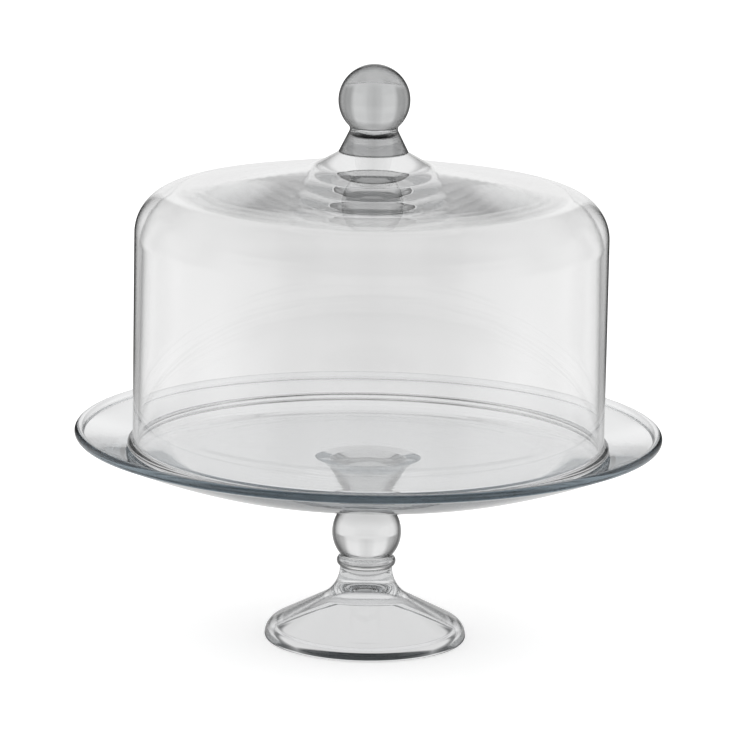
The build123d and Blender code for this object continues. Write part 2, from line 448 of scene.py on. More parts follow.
def knob_section():
    """Outline of the ball knob and its flared neck."""
    ball = (0, knob_height)
    reach = math.sqrt((knob_radius - knob_throat_depth) ** 2 - knob_throat_radius ** 2)
    throat = (knob_throat_radius, knob_height - reach)
    joint = (knob_joint_radius, knob_bottom)
    blend, ball_end, slope_start = ball_to_slope(ball, knob_radius, throat, joint, knob_blend)
    return chain(
        run((0, knob_bottom), joint), run(joint, slope_start),
        short_arc(blend, knob_blend, slope_start, ball_end),
        arc(ball, knob_radius, angle_to(ball, ball_end), 90),
    )


print("knob:", len(knob_section()), "points, top at", round(knob_height + knob_radius, 2), "mm")

# %% [markdown]
# A thin clear film joins the knob to the crown and the stem to the plate. It is hardly seen
# except at its edge. It could be left out, but then the two glasses would melt into one. It
# overlaps both of them by a hair, and its edge is round, as a liquid leaves it.

# %% Section of a joint film
def film_section(joint_radius, bottom):
    """Outline of a clear film with a round edge, which reaches a hair into both neighbours."""
    half = film_thickness / 2 + joint_overlap
    middle = bottom + film_thickness / 2
    edge = joint_radius - film_margin - half
    return chain(
        run((0, middle - half), (edge, middle - half)),
        arc((edge, middle), half, -90, 90),
        run((edge, middle + half), (0, middle + half)),
    )


print("film:", len(film_section(knob_joint_radius, crown_pad_top)), "points")

# %% [markdown]
# All the pieces are turned about the same axis, so one lathe makes them all. The Spin tool or a
# Screw modifier could do it. Geometry Nodes keep it as one tree with named settings: the section
# becomes a curve, a circle carries it round, and the seam and the poles are welded shut. Sharp
# edges keep their crease, and everything else is shaded smooth.

# %% Build the lathe
segments_round = 384


def new_input(tree, name, kind, value=None):
    """Named input of a node tree."""
    socket = tree.interface.new_socket(name, in_out="INPUT", socket_type=kind)
    if value is not None:
        socket.default_value = value
    return socket


def build_lathe():
    """Geometry Nodes tree that turns a flat section round the upright axis."""
    tree = bpy.data.node_groups.new("glass_lathe", "GeometryNodeTree")
    new_input(tree, "Section", "NodeSocketGeometry")
    new_input(tree, "Segments", "NodeSocketInt", segments_round)
    new_input(tree, "Turning Radius", "NodeSocketFloat", 0.2)
    new_input(tree, "Crease Angle", "NodeSocketFloat", math.radians(32))
    new_input(tree, "Weld Distance", "NodeSocketFloat", 0.000002)
    new_input(tree, "Glass", "NodeSocketMaterial")
    tree.interface.new_socket("Piece", in_out="OUTPUT", socket_type="NodeSocketGeometry")

    def node(kind, x, **settings):
        made = tree.nodes.new(kind)
        made.location = (x, 0)
        for key, value in settings.items():
            setattr(made, key, value)
        return made

    link = tree.links.new
    given = node("NodeGroupInput", -900)
    drawn = node("GeometryNodeMeshToCurve", -700)
    link(given.outputs["Section"], drawn.inputs["Mesh"])

    # Curve to Mesh lays the section's width along the radius and its height downwards
    inward = node("ShaderNodeMath", -700, operation="MULTIPLY")
    inward.inputs[1].default_value = -1.0
    link(given.outputs["Turning Radius"], inward.inputs[0])
    offset = node("ShaderNodeCombineXYZ", -500)
    link(inward.outputs[0], offset.inputs["X"])
    placed = node("GeometryNodeTransform", -300)
    placed.inputs["Scale"].default_value = (1, -1, 1)
    link(drawn.outputs["Curve"], placed.inputs["Geometry"])
    link(offset.outputs["Vector"], placed.inputs["Translation"])

    circle = node("GeometryNodeCurvePrimitiveCircle", -300, mode="RADIUS")
    link(given.outputs["Segments"], circle.inputs["Resolution"])
    link(given.outputs["Turning Radius"], circle.inputs["Radius"])
    turned = node("GeometryNodeCurveToMesh", -100)
    link(circle.outputs["Curve"], turned.inputs["Curve"])
    link(placed.outputs["Geometry"], turned.inputs["Profile Curve"])

    welded = node("GeometryNodeMergeByDistance", 100)
    link(turned.outputs["Mesh"], welded.inputs["Geometry"])
    link(given.outputs["Weld Distance"], welded.inputs["Distance"])

    bend = node("GeometryNodeInputMeshEdgeAngle", 100)
    gentle = node("FunctionNodeCompare", 300, data_type="FLOAT", operation="LESS_THAN")
    link(bend.outputs["Unsigned Angle"], gentle.inputs["A"])
    link(given.outputs["Crease Angle"], gentle.inputs["B"])
    outward = node("GeometryNodeFlipFaces", 200)
    link(welded.outputs["Geometry"], outward.inputs["Mesh"])
    smooth_faces = node("GeometryNodeSetShadeSmooth", 300, domain="FACE")
    smooth_faces.inputs["Shade Smooth"].default_value = True
    link(outward.outputs["Mesh"], smooth_faces.inputs["Geometry"])
    creased = node("GeometryNodeSetShadeSmooth", 500, domain="EDGE")
    link(smooth_faces.outputs["Geometry"], creased.inputs["Geometry"])
    link(gentle.outputs["Result"], creased.inputs["Shade Smooth"])

    whole = node("GeometryNodeRealizeInstances", 700)
    link(creased.outputs["Geometry"], whole.inputs["Geometry"])
    finished = node("GeometryNodeSetMaterial", 900)
    link(whole.outputs["Geometry"], finished.inputs["Geometry"])
    link(given.outputs["Glass"], finished.inputs["Material"])
    result = node("NodeGroupOutput", 1100)
    link(finished.outputs["Geometry"], result.inputs["Piece"])
    return tree


lathe = build_lathe()
inputs = {item.name: item.identifier for item in lathe.interface.items_tree
          if item.in_out == "INPUT"}
print("the lathe's settings:", ", ".join(inputs))

# %% [markdown]
# To turn a piece, its section is drawn as a chain of edges and given the lathe as a modifier. The
# settings are made by socket identifier before the object is first evaluated. The result is kept
# as a plain mesh and the sketch is thrown away, so no modifier is left on the finished piece.

# %% Turn a section and measure it
def turn_piece(name, section, glass):
    """Turns a section on the lathe and keeps the result as a plain mesh."""
    flat = bpy.data.meshes.new(name + "_section")
    points = [(r * MM, h * MM, 0) for r, h in section]
    flat.from_pydata(points, [(i, i + 1) for i in range(len(points) - 1)], [])
    sketch = bpy.data.objects.new(name + "_sketch", flat)
    bpy.context.scene.collection.objects.link(sketch)
    modifier = sketch.modifiers.new("lathe", "NODES")
    modifier.node_group = lathe
    modifier[inputs["Segments"]] = segments_round
    modifier[inputs["Glass"]] = glass
    evaluated = sketch.evaluated_get(bpy.context.evaluated_depsgraph_get())
    mesh = bpy.data.meshes.new_from_object(evaluated)
    mesh.name = name
    bpy.data.objects.remove(sketch)
    piece = bpy.data.objects.new(name, mesh)
    bpy.context.scene.collection.objects.link(piece)
    return piece


def measure(piece):
    """Prints a piece's faces and its volume, which is positive when its faces point outwards."""
    mesh = piece.data
    mesh.calc_loop_triangles()
    volume = 0.0
    for triangle in mesh.loop_triangles:
        a, b, c = (mesh.vertices[i].co for i in triangle.vertices)
        volume += a.dot(b.cross(c)) / 6
    print(f"{piece.name}: {len(mesh.loop_triangles)} triangles, {volume / MM ** 3:.0f} cubic mm")


print("pieces are turned in", segments_round, "steps")

# %% [markdown]
# A glass look is built from few shader nodes, used again and again: maths on a value, a span of
# values mapped to another span, two colours blended. They could be wired by hand each time. Small
# helpers are shorter, and they place each node by column and row, so the tree stays readable.

# %% Shader helpers
node_step = 220
WHITE = (1.0, 1.0, 1.0)


def blank_tree(holder):
    """Empty node tree of a material or a world."""
    holder.use_nodes = True
    holder.node_tree.nodes.clear()
    return holder.node_tree


def new_node(tree, kind, place, **settings):
    """Shader node at a place, in steps of one column and one row."""
    made = tree.nodes.new(kind)
    made.location = (place[0] * node_step, -place[1] * node_step)
    for key, value in settings.items():
        setattr(made, key, value)
    return made


def feed(tree, socket, value):
    """Give an input a plain number, a colour, or the output to link to it."""
    if isinstance(value, (int, float)):
        socket.default_value = value
    elif isinstance(value, tuple):
        socket.default_value = (*value, 1.0)
    else:
        tree.links.new(value, socket)


def maths(tree, place, operation, first, second=None, third=None, clamp=False):
    """Output of a Math node."""
    made = new_node(tree, "ShaderNodeMath", place, operation=operation, use_clamp=clamp)
    for socket, value in zip(made.inputs, (first, second, third)):
        if value is not None:
            feed(tree, socket, value)
    return made.outputs[0]


def spread(tree, place, value, low, high, smooth=True):
    """Output of a Map Range node: 0 at low, 1 at high."""
    made = new_node(tree, "ShaderNodeMapRange", place,
                    interpolation_type="SMOOTHSTEP" if smooth else "LINEAR")
    feed(tree, made.inputs["From Min"], low)
    feed(tree, made.inputs["From Max"], high)
    feed(tree, made.inputs["Value"], value)
    return made.outputs["Result"]


def blend_colours(tree, place, share, first, second):
    """Output of a Mix node for two colours."""
    made = new_node(tree, "ShaderNodeMix", place, data_type="RGBA")
    for index, value in ((0, share), (6, first), (7, second)):
        feed(tree, made.inputs[index], value)
    return made.outputs[2]


def multiply_colours(tree, place, first, second):
    """Product of two colours."""
    made = new_node(tree, "ShaderNodeVectorMath", place, operation="MULTIPLY")
    tree.links.new(first, made.inputs[0])
    tree.links.new(second, made.inputs[1])
    return made.outputs["Vector"]


def mix_shaders(tree, place, share, first, second):
    """Output of a Mix Shader node."""
    made = new_node(tree, "ShaderNodeMixShader", place)
    for socket, value in zip(made.inputs, (share, first, second)):
        tree.links.new(value, socket)
    return made.outputs[0]


def split(tree, place, vector):
    """The X, Y and Z of a vector."""
    made = new_node(tree, "ShaderNodeSeparateXYZ", place)
    tree.links.new(vector, made.inputs[0])
    return tuple(made.outputs)


def from_axis(tree, place, vector):
    """Distance of a point from the vertical axis."""
    flat = new_node(tree, "ShaderNodeVectorMath", place, operation="MULTIPLY")
    flat.inputs[1].default_value = (1, 1, 0)
    tree.links.new(vector, flat.inputs[0])
    far = new_node(tree, "ShaderNodeVectorMath", (place[0] + 1, place[1]), operation="LENGTH")
    tree.links.new(flat.outputs["Vector"], far.inputs[0])
    return far.outputs["Value"]


def start_group(name, sizes, output):
    """Shader group with named inputs, of which None stands for a vector, and one output."""
    tree = bpy.data.node_groups.new(name, "ShaderNodeTree")
    for label, value in sizes.items():
        kind = "NodeSocketVector" if value is None else "NodeSocketFloat"
        new_input(tree, label, kind, value)
    tree.interface.new_socket(output, in_out="OUTPUT", socket_type="NodeSocketFloat")
    given = new_node(tree, "NodeGroupInput", (0, 0))
    result = new_node(tree, "NodeGroupOutput", (8, 0))
    return tree, given.outputs, result.inputs[output]


print("helpers for Math, Map Range, Mix, Vector Math and group nodes")

# %% [markdown]
# Glass that is pressed or blown hot is never quite flat. It keeps soft waves, and faint rings
# where it was spun or turned out of the mould. Moving the mesh would need a very fine one. A
# height that only bends the reflections is enough: smooth noise for the waves, and a sine of the
# distance from the axis for the rings. It is a group because every glass here uses it.

# %% Group: ripples of hot-worked glass
def build_ripples():
    """Height of the soft waves and rings that hot working leaves in a glass surface."""
    tree, given, result = start_group("glass_ripples", {
        "Place": None, "Wave Size": 0.03, "Ring Spacing": 0.006, "Ring Share": 0.1}, "Height")
    waves = new_node(tree, "ShaderNodeTexNoise", (2, 0))
    waves.inputs["Detail"].default_value = 1.5
    waves.inputs["Roughness"].default_value = 0.4
    tree.links.new(given["Place"], waves.inputs["Vector"])
    feed(tree, waves.inputs["Scale"], maths(tree, (1, 0), "DIVIDE", 1.0, given["Wave Size"]))

    far = from_axis(tree, (1, 1), given["Place"])
    wander = maths(tree, (3, 2), "MULTIPLY_ADD", waves.outputs["Fac"], given["Ring Spacing"], far)
    turns = maths(tree, (4, 2), "DIVIDE", wander, given["Ring Spacing"])
    rings = maths(tree, (5, 2), "SINE", maths(tree, (4, 3), "MULTIPLY", turns, 2 * math.pi))
    height = maths(tree, (6, 0), "MULTIPLY_ADD", rings, given["Ring Share"], waves.outputs["Fac"])
    tree.links.new(height, result)
    return tree


ripples = build_ripples()
print("glass_ripples:", len(ripples.nodes), "nodes")

# %% [markdown]
# A cake stand is handled and washed, so its shine is a little uneven: faint smudges, and a dull
# ring where the foot is pushed about on the table. Painting a map would need an unwrapped mesh.
# Noise in object space and the height above the table do it for any piece, and drive only the
# roughness, so the glass stays clear.

# %% Group: marks of use
smudge_patches = (0.55, 0.75)          # the part of the noise that counts as smudged


def build_use_marks():
    """Roughness of glass that has been handled: smudges, and a scuffed ring where it stands."""
    tree, given, result = start_group("use_marks", {
        "Place": None, "Smudge Size": 0.05, "Smudge": 0.02, "Scuff Height": 0.0004, "Scuff": 0.2},
        "Roughness")
    cloud = new_node(tree, "ShaderNodeTexNoise", (2, 0))
    cloud.inputs["Detail"].default_value = 4.0
    tree.links.new(given["Place"], cloud.inputs["Vector"])
    feed(tree, cloud.inputs["Scale"], maths(tree, (1, 0), "DIVIDE", 1.0, given["Smudge Size"]))
    patches = spread(tree, (3, 0), cloud.outputs["Fac"], *smudge_patches)
    smudge = maths(tree, (4, 0), "MULTIPLY", patches, given["Smudge"])

    height = split(tree, (1, 1), given["Place"])[2]
    worn = spread(tree, (3, 1), height, given["Scuff Height"], 0.0)
    scuff = maths(tree, (4, 1), "MULTIPLY", worn, given["Scuff"])
    tree.links.new(maths(tree, (5, 0), "ADD", smudge, scuff), result)
    return tree


use_marks = build_use_marks()
print("use_marks:", len(use_marks.nodes), "nodes")

# %% [markdown]
# The rolled edge of the plate gets a painted slate-grey shade for the dark that light shows after it runs
# a long way inside it, and the clear film under the knob gets a painted dark ring where it ends. Both are
# a painted shade that changes with the distance from the axis, so one group gives both materials the share
# of the rim's painted shade.

# %% Group: painted shade at the rim of a round piece
def build_rim_shade_share():
    """Share of the rim's painted shade: 0 inside Start, 1 outside End."""
    tree, given, result = start_group("rim_shade_share", {"Place": None, "Start": 1.0, "End": 1.1}, "Share")
    far = from_axis(tree, (1, 0), given["Place"])
    tree.links.new(spread(tree, (3, 0), far, given["Start"], given["End"]), result)
    return tree


rim_shade_share = build_rim_shade_share()
print("rim_shade_share:", len(rim_shade_share.nodes), "nodes")

# %% [markdown]
# Clear glass is a Principled shader with full transmission, plus an absorbing volume inside. The volume is
# what makes thick glass greyer than thin glass, and no surface colour can do that. In the photo the
# outline of each piece is dark, as glass is in front of a white sheet, so the surface colour is painted
# near black where it is seen edge on: a painted shade at the outline. Layer Weight gives that angle. Light
# from above and below fills the outline of faces that look up or down, so the painted shade can be held
# back there. The rim's painted slate shade counts only where light enters, which is what Backfacing tells:
# the near rim then looks slate and the far one stays clear, from whichever side it is seen.

# %% Glass material
glass_index = 1.5


def clear_glass(name, tint, edge_tint, edge_span, absorbed, density, ripple, rim=None, level=None,
                **marks):
    """Clear glass: painted shade where it is seen edge on and at a rim, with a body colour, ripples and
    smudges.
    """
    material = bpy.data.materials.new(name)
    tree = blank_tree(material)
    where = new_node(tree, "ShaderNodeTexCoord", (0, 0))
    place = where.outputs["Object"]

    groups = {}
    for row, group in enumerate((ripples, use_marks) + ((rim_shade_share,) if rim else ())):
        made = new_node(tree, "ShaderNodeGroup", (1, row + 2), node_tree=group)
        tree.links.new(place, made.inputs["Place"])
        for key, value in marks.items():
            if key in made.inputs:
                made.inputs[key].default_value = value
        groups[group.name] = made
    bump = new_node(tree, "ShaderNodeBump", (2, 2))
    bump.inputs["Strength"].default_value = 1.0
    bump.inputs["Distance"].default_value = ripple
    tree.links.new(groups["glass_ripples"].outputs["Height"], bump.inputs["Height"])

    # painted shade: the surface colour is blended to near black where the glass is seen edge on
    edge_on = new_node(tree, "ShaderNodeLayerWeight", (1, 0))
    edge_on.inputs["Blend"].default_value = 0.5
    edge_shade_share = spread(tree, (2, 0), edge_on.outputs["Facing"], *edge_span)
    if level:
        upward = split(tree, (0, 1), where.outputs["Normal"])[2]
        steep = spread(tree, (2, 1), maths(tree, (1, 1), "ABSOLUTE", upward), *level)
        edge_shade_share = maths(tree, (3, 1), "MULTIPLY", edge_shade_share, steep)
    colour = blend_colours(tree, (3, 0), edge_shade_share, tint, edge_tint)
    # painted slate shade on the rim, counted only where light enters
    if rim:
        inside = new_node(tree, "ShaderNodeNewGeometry", (1, 5)).outputs["Backfacing"]
        entering = maths(tree, (2, 5), "SUBTRACT", 1.0, inside)
        share = maths(tree, (2, 4), "MULTIPLY", groups["rim_shade_share"].outputs["Share"], entering)
        colour = multiply_colours(tree, (4, 3), colour, blend_colours(tree, (3, 3), share, WHITE, rim))

    shader = new_node(tree, "ShaderNodeBsdfPrincipled", (5, 0))
    shader.inputs["Transmission Weight"].default_value = 1.0
    shader.inputs["IOR"].default_value = glass_index
    tree.links.new(colour, shader.inputs["Base Color"])
    tree.links.new(groups["use_marks"].outputs["Roughness"], shader.inputs["Roughness"])
    tree.links.new(bump.outputs["Normal"], shader.inputs["Normal"])
    body = new_node(tree, "ShaderNodeVolumeAbsorption", (5, 2))
    body.inputs["Color"].default_value = (*absorbed, 1.0)
    body.inputs["Density"].default_value = density
    output = new_node(tree, "ShaderNodeOutputMaterial", (6, 0))
    tree.links.new(shader.outputs[0], output.inputs["Surface"])
    tree.links.new(body.outputs[0], output.inputs["Volume"])
    lost = [round(density * (1 - part), 1) for part in absorbed]
    print(name, "absorbs", lost, "per metre in red, green and blue")
    return material


print("glass bends light with an index of", glass_index)

# %% [markdown]
# All of it is the same kind of glass, but each piece was made and is seen in its own way. The plate and
# the foot are pressed: slightly blue-green in the thick rim, by their body colour and, on the plate's
# rolled edge, by a painted slate shade. The stem and the knob are solid balls, with a painted shade that
# darkens them towards their outline. The blown cover is thin and nearly colourless.

# %% Pressed glass: the plate and the foot
cool_tint = (0.985, 0.987, 0.99)
soft_ripple, fine_ripple = 0.00002, 0.00001          # heights in metres
# painted shade: rim is a slate shade painted on the rolled edge, and the edge colour is a painted
# near-black shade at the outline
plate_glass = clear_glass(
    "plate_glass", tint=cool_tint, edge_tint=(0.004, 0.006, 0.008), edge_span=(0.7, 0.95),
    absorbed=(0.19, 0.27, 0.32), density=6.5, ripple=soft_ripple, rim=(0.05, 0.075, 0.095),
    **{"Start": 0.1643, "End": 0.1653, "Wave Size": 0.02})
# painted shade: the edge colour is painted near black at the foot's outline
foot_glass = clear_glass(
    "foot_glass", tint=cool_tint, edge_tint=(0.004, 0.005, 0.006), edge_span=(0.6, 0.88),
    absorbed=(0.29, 0.32, 0.34), density=5.0, ripple=fine_ripple, **{"Wave Size": 0.02})

# %% [markdown]
# The stem and the knob are lumps of solid glass, and a ball shows its outline as a broad dark ring. A
# denser body alone would darken the middle too. Here the painted dark edge, a painted shade, starts
# earlier instead. The knob is a darker grey than the stem in the photo, so its body is the denser of the
# two.

# %% Solid glass: the stem and the knob
# painted shade: the edge colour is painted near black at the outline of a ball
colourless = {"tint": (0.985, 0.985, 0.985), "edge_tint": (0.004, 0.004, 0.004),
              "absorbed": (0.31, 0.325, 0.33)}
stem_glass = clear_glass("stem_glass", edge_span=(0.3, 0.62), density=6.0, ripple=fine_ripple,
                         level=(0.9, 0.6), **colourless, **{"Wave Size": 0.02})
knob_glass = clear_glass("knob_glass", edge_span=(0.32, 0.7), density=18.0, ripple=fine_ripple,
                         **colourless, **{"Wave Size": 0.02})

# %% [markdown]
# The cover is blown thin, so its body hardly darkens what is behind it. Its wall shows as two thin dark
# lines at the sides, made by a painted shade at the outline. A wide painted dark edge would look like
# thick glass, so this one is narrow, and the crown, which looks up, stays clear of it.

# %% Blown glass: the cover
# painted shade: a narrow near-black edge colour at the cover's outline
cover_glass = clear_glass("cover_glass", edge_span=(0.76, 0.9), density=2.5, ripple=soft_ripple,
                          level=(0.98, 0.75), **colourless, **{"Wave Size": 0.03})

# %% [markdown]
# The two clear films are hardly coloured at all. The one under the knob shows as a dark line where it
# ends, because light runs along it there. A black ring could be modelled for that line. A painted black
# shade on the rim of the clear film is simpler, and the view through the neck stays as it is.

# %% Clear films: one under the knob, one under the plate
# painted shade: a slight darkening of the edge colour at each film's outline
film = {"tint": (0.99, 0.99, 0.99), "edge_tint": (0.8, 0.8, 0.8), "edge_span": (0.8, 1.0),
        "absorbed": (0.3, 0.3, 0.3), "density": 2.0, "ripple": fine_ripple, "Wave Size": 0.01}
# painted shade: the knob film's rim is painted black
knob_film = clear_glass("knob_film", rim=(0.0, 0.0, 0.0), **film, **{"Start": 0.0172, "End": 0.0186})
plate_film = clear_glass("plate_film", **film)

# %% [markdown]
# Now every piece is turned from its outline. Each one says which body it rides on, so it moves
# when that body moves, which piece of the construction it stands in for, and which material slot
# its look fills. Two bodies are enough: the stand stays on the table, and the dome lifts off.

# %% Turn the pieces, attach them to their bodies and hide their solids
pieces = {
    "foot": (foot_section(), foot_glass, "stand", "clear_glass", "pedestal_foot"),
    "stem": (stem_section(), stem_glass, "stand", "clear_glass", "pedestal_stem"),
    "plate_film": (film_section(stem_joint_radius, stem_top), plate_film, "stand", "clear_film",
                   "plate_joint_film"),
    "plate": (plate_section(), plate_glass, "stand", "clear_glass", "serving_plate"),
    "shell": (shell_section(), cover_glass, "dome", "clear_glass", "dome_shell"),
    "knob_film": (film_section(knob_joint_radius, crown_pad_top), knob_film, "dome", "clear_film",
                  "knob_joint_film"),
    "knob": (knob_section(), knob_glass, "dome", "clear_glass", "dome_knob"),
}
for name, (section, glass, body, slot, node_name) in pieces.items():
    piece = turn_piece(name, section, glass)
    measure(piece)
    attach(piece, body)
    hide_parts(node_name)

# %% [markdown]
# Clear glass shows what stands round it, so the studio matters as much as the glass. In the photo
# there is a bright sheet behind, darker gaps at either side of it, and darkness on the camera's
# side that the surfaces mirror. Real walls and lamps could be modelled. A level of grey for each
# direction is simpler: one group gives it to the floor and to the world alike. The bearing is 0
# straight behind or in front and 90 degrees at the side, so the cover looks clear from behind too.
# Only the middle of the sheet behind is also bright where a flat slope, such as the crown,
# mirrors it.

# %% Levels of the surroundings, by bearing in degrees
SEEN_ROUND = [(0, 0.78), (5, 0.83), (11, 0.93), (22, 0.9), (33, 0.5), (44, 0.42), (56, 0.75), (75, 0.93),
              (90, 0.86)]
MIRRORED_ROUND = [(0, 0.05), (18, 0.06), (32, 0.4), (48, 1.0), (72, 1.05), (90, 0.6)]
SHEET_BEHIND = (14, 9)          # the bright middle of the sheet begins here, and is full here
SHEET_LEVEL = (0.87, 0.87, 0.87)
TO_DEGREES = 180 / math.pi


def ramp(tree, place, value, low, high, stops):
    """Colour Ramp from (position, grey) stops, positions given on the scale low to high."""
    share = spread(tree, place, value, low, high, smooth=False)
    made = new_node(tree, "ShaderNodeValToRGB", (place[0] + 1, place[1]))
    made.color_ramp.interpolation = "EASE"
    elements = made.color_ramp.elements
    while len(elements) < len(stops):
        elements.new(0.5)
    for element, (position, _) in zip(elements, stops):
        element.position = (position - low) / (high - low)
    for element, (_, grey) in zip(sorted(elements, key=lambda e: e.position), stops):
        element.color = (grey, grey, grey, 1.0)
    tree.links.new(share, made.inputs[0])
    return made.outputs["Color"]


def build_surroundings():
    """What the glass shows of the studio, all round: seen through it, and mirrored in it."""
    tree, given, result = start_group(
        "surroundings", {"Direction": None, "Mirrored": 0.0, "Behind": 0.0}, "Level")
    across, along, _ = split(tree, (1, 0), given["Direction"])
    wide = maths(tree, (2, 2), "ABSOLUTE", across)
    deep = maths(tree, (2, 3), "ABSOLUTE", along)
    bearing = maths(tree, (3, 3), "MULTIPLY", maths(tree, (3, 2), "ARCTAN2", wide, deep), TO_DEGREES)
    seen = ramp(tree, (4, 0), bearing, 0, 90, SEEN_ROUND)
    sheet = maths(tree, (5, 4), "MULTIPLY", spread(tree, (4, 4), bearing, *SHEET_BEHIND),
                  given["Behind"])
    mirrored = blend_colours(tree, (6, 3), sheet, ramp(tree, (4, 2), bearing, 0, 90, MIRRORED_ROUND),
                             SHEET_LEVEL)
    grey = new_node(tree, "ShaderNodeRGBToBW", (7, 0))
    tree.links.new(blend_colours(tree, (6, 0), given["Mirrored"], seen, mirrored), grey.inputs[0])
    tree.links.new(grey.outputs[0], result)
    return tree


surroundings = build_surroundings()


def level_round(tree, direction, mirrored, behind):
    """Level of the surroundings in one direction, from a node of their group."""
    around = new_node(tree, "ShaderNodeGroup", (3, 2), node_tree=surroundings)
    for name, value in (("Direction", direction), ("Mirrored", mirrored), ("Behind", behind)):
        tree.links.new(value, around.inputs[name])
    return around.outputs["Level"]


print("surroundings:", len(surroundings.nodes), "nodes")

# %% [markdown]
# The Light Path node tells rays apart. Rays straight from the camera must see a plain white
# studio. Rays that glass has bent or mirrored see the levels above. A ray that a surface only
# mirrored is glossy and not transmitted, and it gets the mirrored levels. All other rays light
# the scene, so they see plain paper and keep the shadow on the floor.

# %% Kinds of rays
def ray_masks(tree, column, row):
    """Shares of rays from the camera, of rays that glass sends on, and of mirrored rays."""
    rays = new_node(tree, "ShaderNodeLightPath", (column, row))
    glossy, sent = rays.outputs["Is Glossy Ray"], rays.outputs["Is Transmission Ray"]
    sent_on = maths(tree, (column + 1, row), "ADD", sent, glossy, clamp=True)
    mirrored = maths(tree, (column + 1, row + 1), "SUBTRACT", glossy, sent, clamp=True)
    return rays.outputs["Is Camera Ray"], sent_on, mirrored


print("three masks from one Light Path node")

# %% [markdown]
# Under and round the foot, the paper that glass shows carries painted shade, laid as if the light came
# from behind: the foot's thick lip throws it towards the camera and to both sides, the dark crescent along
# the lower edge in the photo. The floor in front of the stand is painted dark as well, which blackens the
# neck of the knob. Each pair below says where a change begins and where it is complete, in metres on the
# floor from the middle of the foot.

# %% Painted shade on the paper near the foot
# painted shade: the paper that glass shows is darker under and near the foot
PAINTED_SHADE_UNDER_FOOT = [(0, 0.74), (0.056, 0.74), (0.065, 0.68), (0.1, 0.7), (0.2, 0.88), (1.0, 0.9)]
FAR_FLOOR = (0.5, 0.85)
SHEET_STANDS = (1.15, 1.4)          # from here the floor counts as being behind
# painted shade thrown by the foot's lip, towards the camera and to the sides
PAINTED_SHADE_COLOUR = (0.03, 0.035, 0.038)
SHADE_BEFORE = (-0.026, -0.034)
SHADE_WITHIN = (0.052, 0.047)
LIP_FROM = (0.046, 0.05)
LIP_TO = (0.064, 0.058)
BESIDE_BACK = (0.024, 0.008)
BESIDE_FRONT = (-0.044, -0.03)
# painted shade on the paper in front of the stand
DARK_FRONT = (-0.04, -0.12)
DARK_WITHIN = (0.55, 0.3)
PAINTED_FRONT_SHADE = (0.05, 0.05, 0.05)


def both_spans(tree, column, first, second):
    """Product of two spans, each given as its row, the value and the span's two ends."""
    shares = [spread(tree, (column, row), value, *span) for row, value, span in (first, second)]
    return maths(tree, (column + 1, first[0]), "MULTIPLY", *shares)


def painted_foot_shade(tree, depth, far):
    """Share of the painted shade, laid as the foot's lip would throw it, from the floor's Y and its
    distance.
    """
    before = both_spans(tree, 2, (7, depth, SHADE_BEFORE), (6, far, SHADE_WITHIN))
    lip = both_spans(tree, 2, (8, far, LIP_FROM), (12, far, LIP_TO))
    beside = both_spans(tree, 2, (9, depth, BESIDE_BACK), (13, depth, BESIDE_FRONT))
    return maths(tree, (5, 7), "MAXIMUM", before, maths(tree, (4, 8), "MULTIPLY", lip, beside))


def floor_level(tree, place, mirrored):
    """Grey that glass shows of the floor, with painted shade near the foot and in front of the stand."""
    far = from_axis(tree, (0, 4), place)
    depth = split(tree, (1, 7), place)[1]
    around = level_round(tree, place, mirrored, spread(tree, (2, 3), depth, *SHEET_STANDS))
    under = ramp(tree, (2, 5), far, 0, 1.0, PAINTED_SHADE_UNDER_FOOT)
    # painted shade of the foot's lip, laid over the darker paper under the foot
    near = blend_colours(tree, (5, 5), painted_foot_shade(tree, depth, far), under, PAINTED_SHADE_COLOUR)
    away = spread(tree, (2, 4), far, *FAR_FLOOR)
    level = blend_colours(tree, (6, 4), away, near, around)
    # painted dark shade on the paper in front of the stand
    front = both_spans(tree, 2, (10, depth, DARK_FRONT), (11, far, DARK_WITHIN))
    return blend_colours(tree, (7, 4), front, level, PAINTED_FRONT_SHADE)


print("paper is level", PAINTED_SHADE_UNDER_FOOT[0][1], "under the foot, and the surroundings beyond", FAR_FLOOR[1], "m")

# %% [markdown]
# The floor is a sheet of matt white paper. One large flat face is enough, laid a hair below the
# foot so that the two don't touch in the same plane. It also glows a little for the camera, so
# the paper reads as white and only the soft shadow stays.

# %% Floor material
PAPER = 0.8
PAPER_GLOW = 0.6


def floor_material():
    """Matt white paper, which glass sees as the grey levels of the studio and a painted shade near the
    foot.
    """
    material = bpy.data.materials.new("white_sweep")
    tree = blank_tree(material)
    direct, sent_on, mirrored = ray_masks(tree, 0, 0)
    place = new_node(tree, "ShaderNodeTexCoord", (0, 2)).outputs["Object"]
    matt = new_node(tree, "ShaderNodeBsdfDiffuse", (5, 0))
    matt.inputs["Color"].default_value = (PAPER, PAPER, PAPER, 1.0)
    lift = new_node(tree, "ShaderNodeEmission", (5, 1))
    tree.links.new(maths(tree, (4, 1), "MULTIPLY", direct, PAPER_GLOW), lift.inputs["Strength"])
    paper = new_node(tree, "ShaderNodeAddShader", (6, 0))
    tree.links.new(matt.outputs[0], paper.inputs[0])
    tree.links.new(lift.outputs[0], paper.inputs[1])
    through = new_node(tree, "ShaderNodeEmission", (8, 2))
    tree.links.new(floor_level(tree, place, mirrored), through.inputs["Color"])
    either = mix_shaders(tree, (9, 0), sent_on, paper.outputs[0], through.outputs[0])
    output = new_node(tree, "ShaderNodeOutputMaterial", (10, 0))
    tree.links.new(either, output.inputs["Surface"])
    return material


print("paper reflects", PAPER, "of the light")

# %% [markdown]
# The sheet itself is one square face that reaches far behind everything the camera shows. It is part of
# the studio, not of the cake stand.

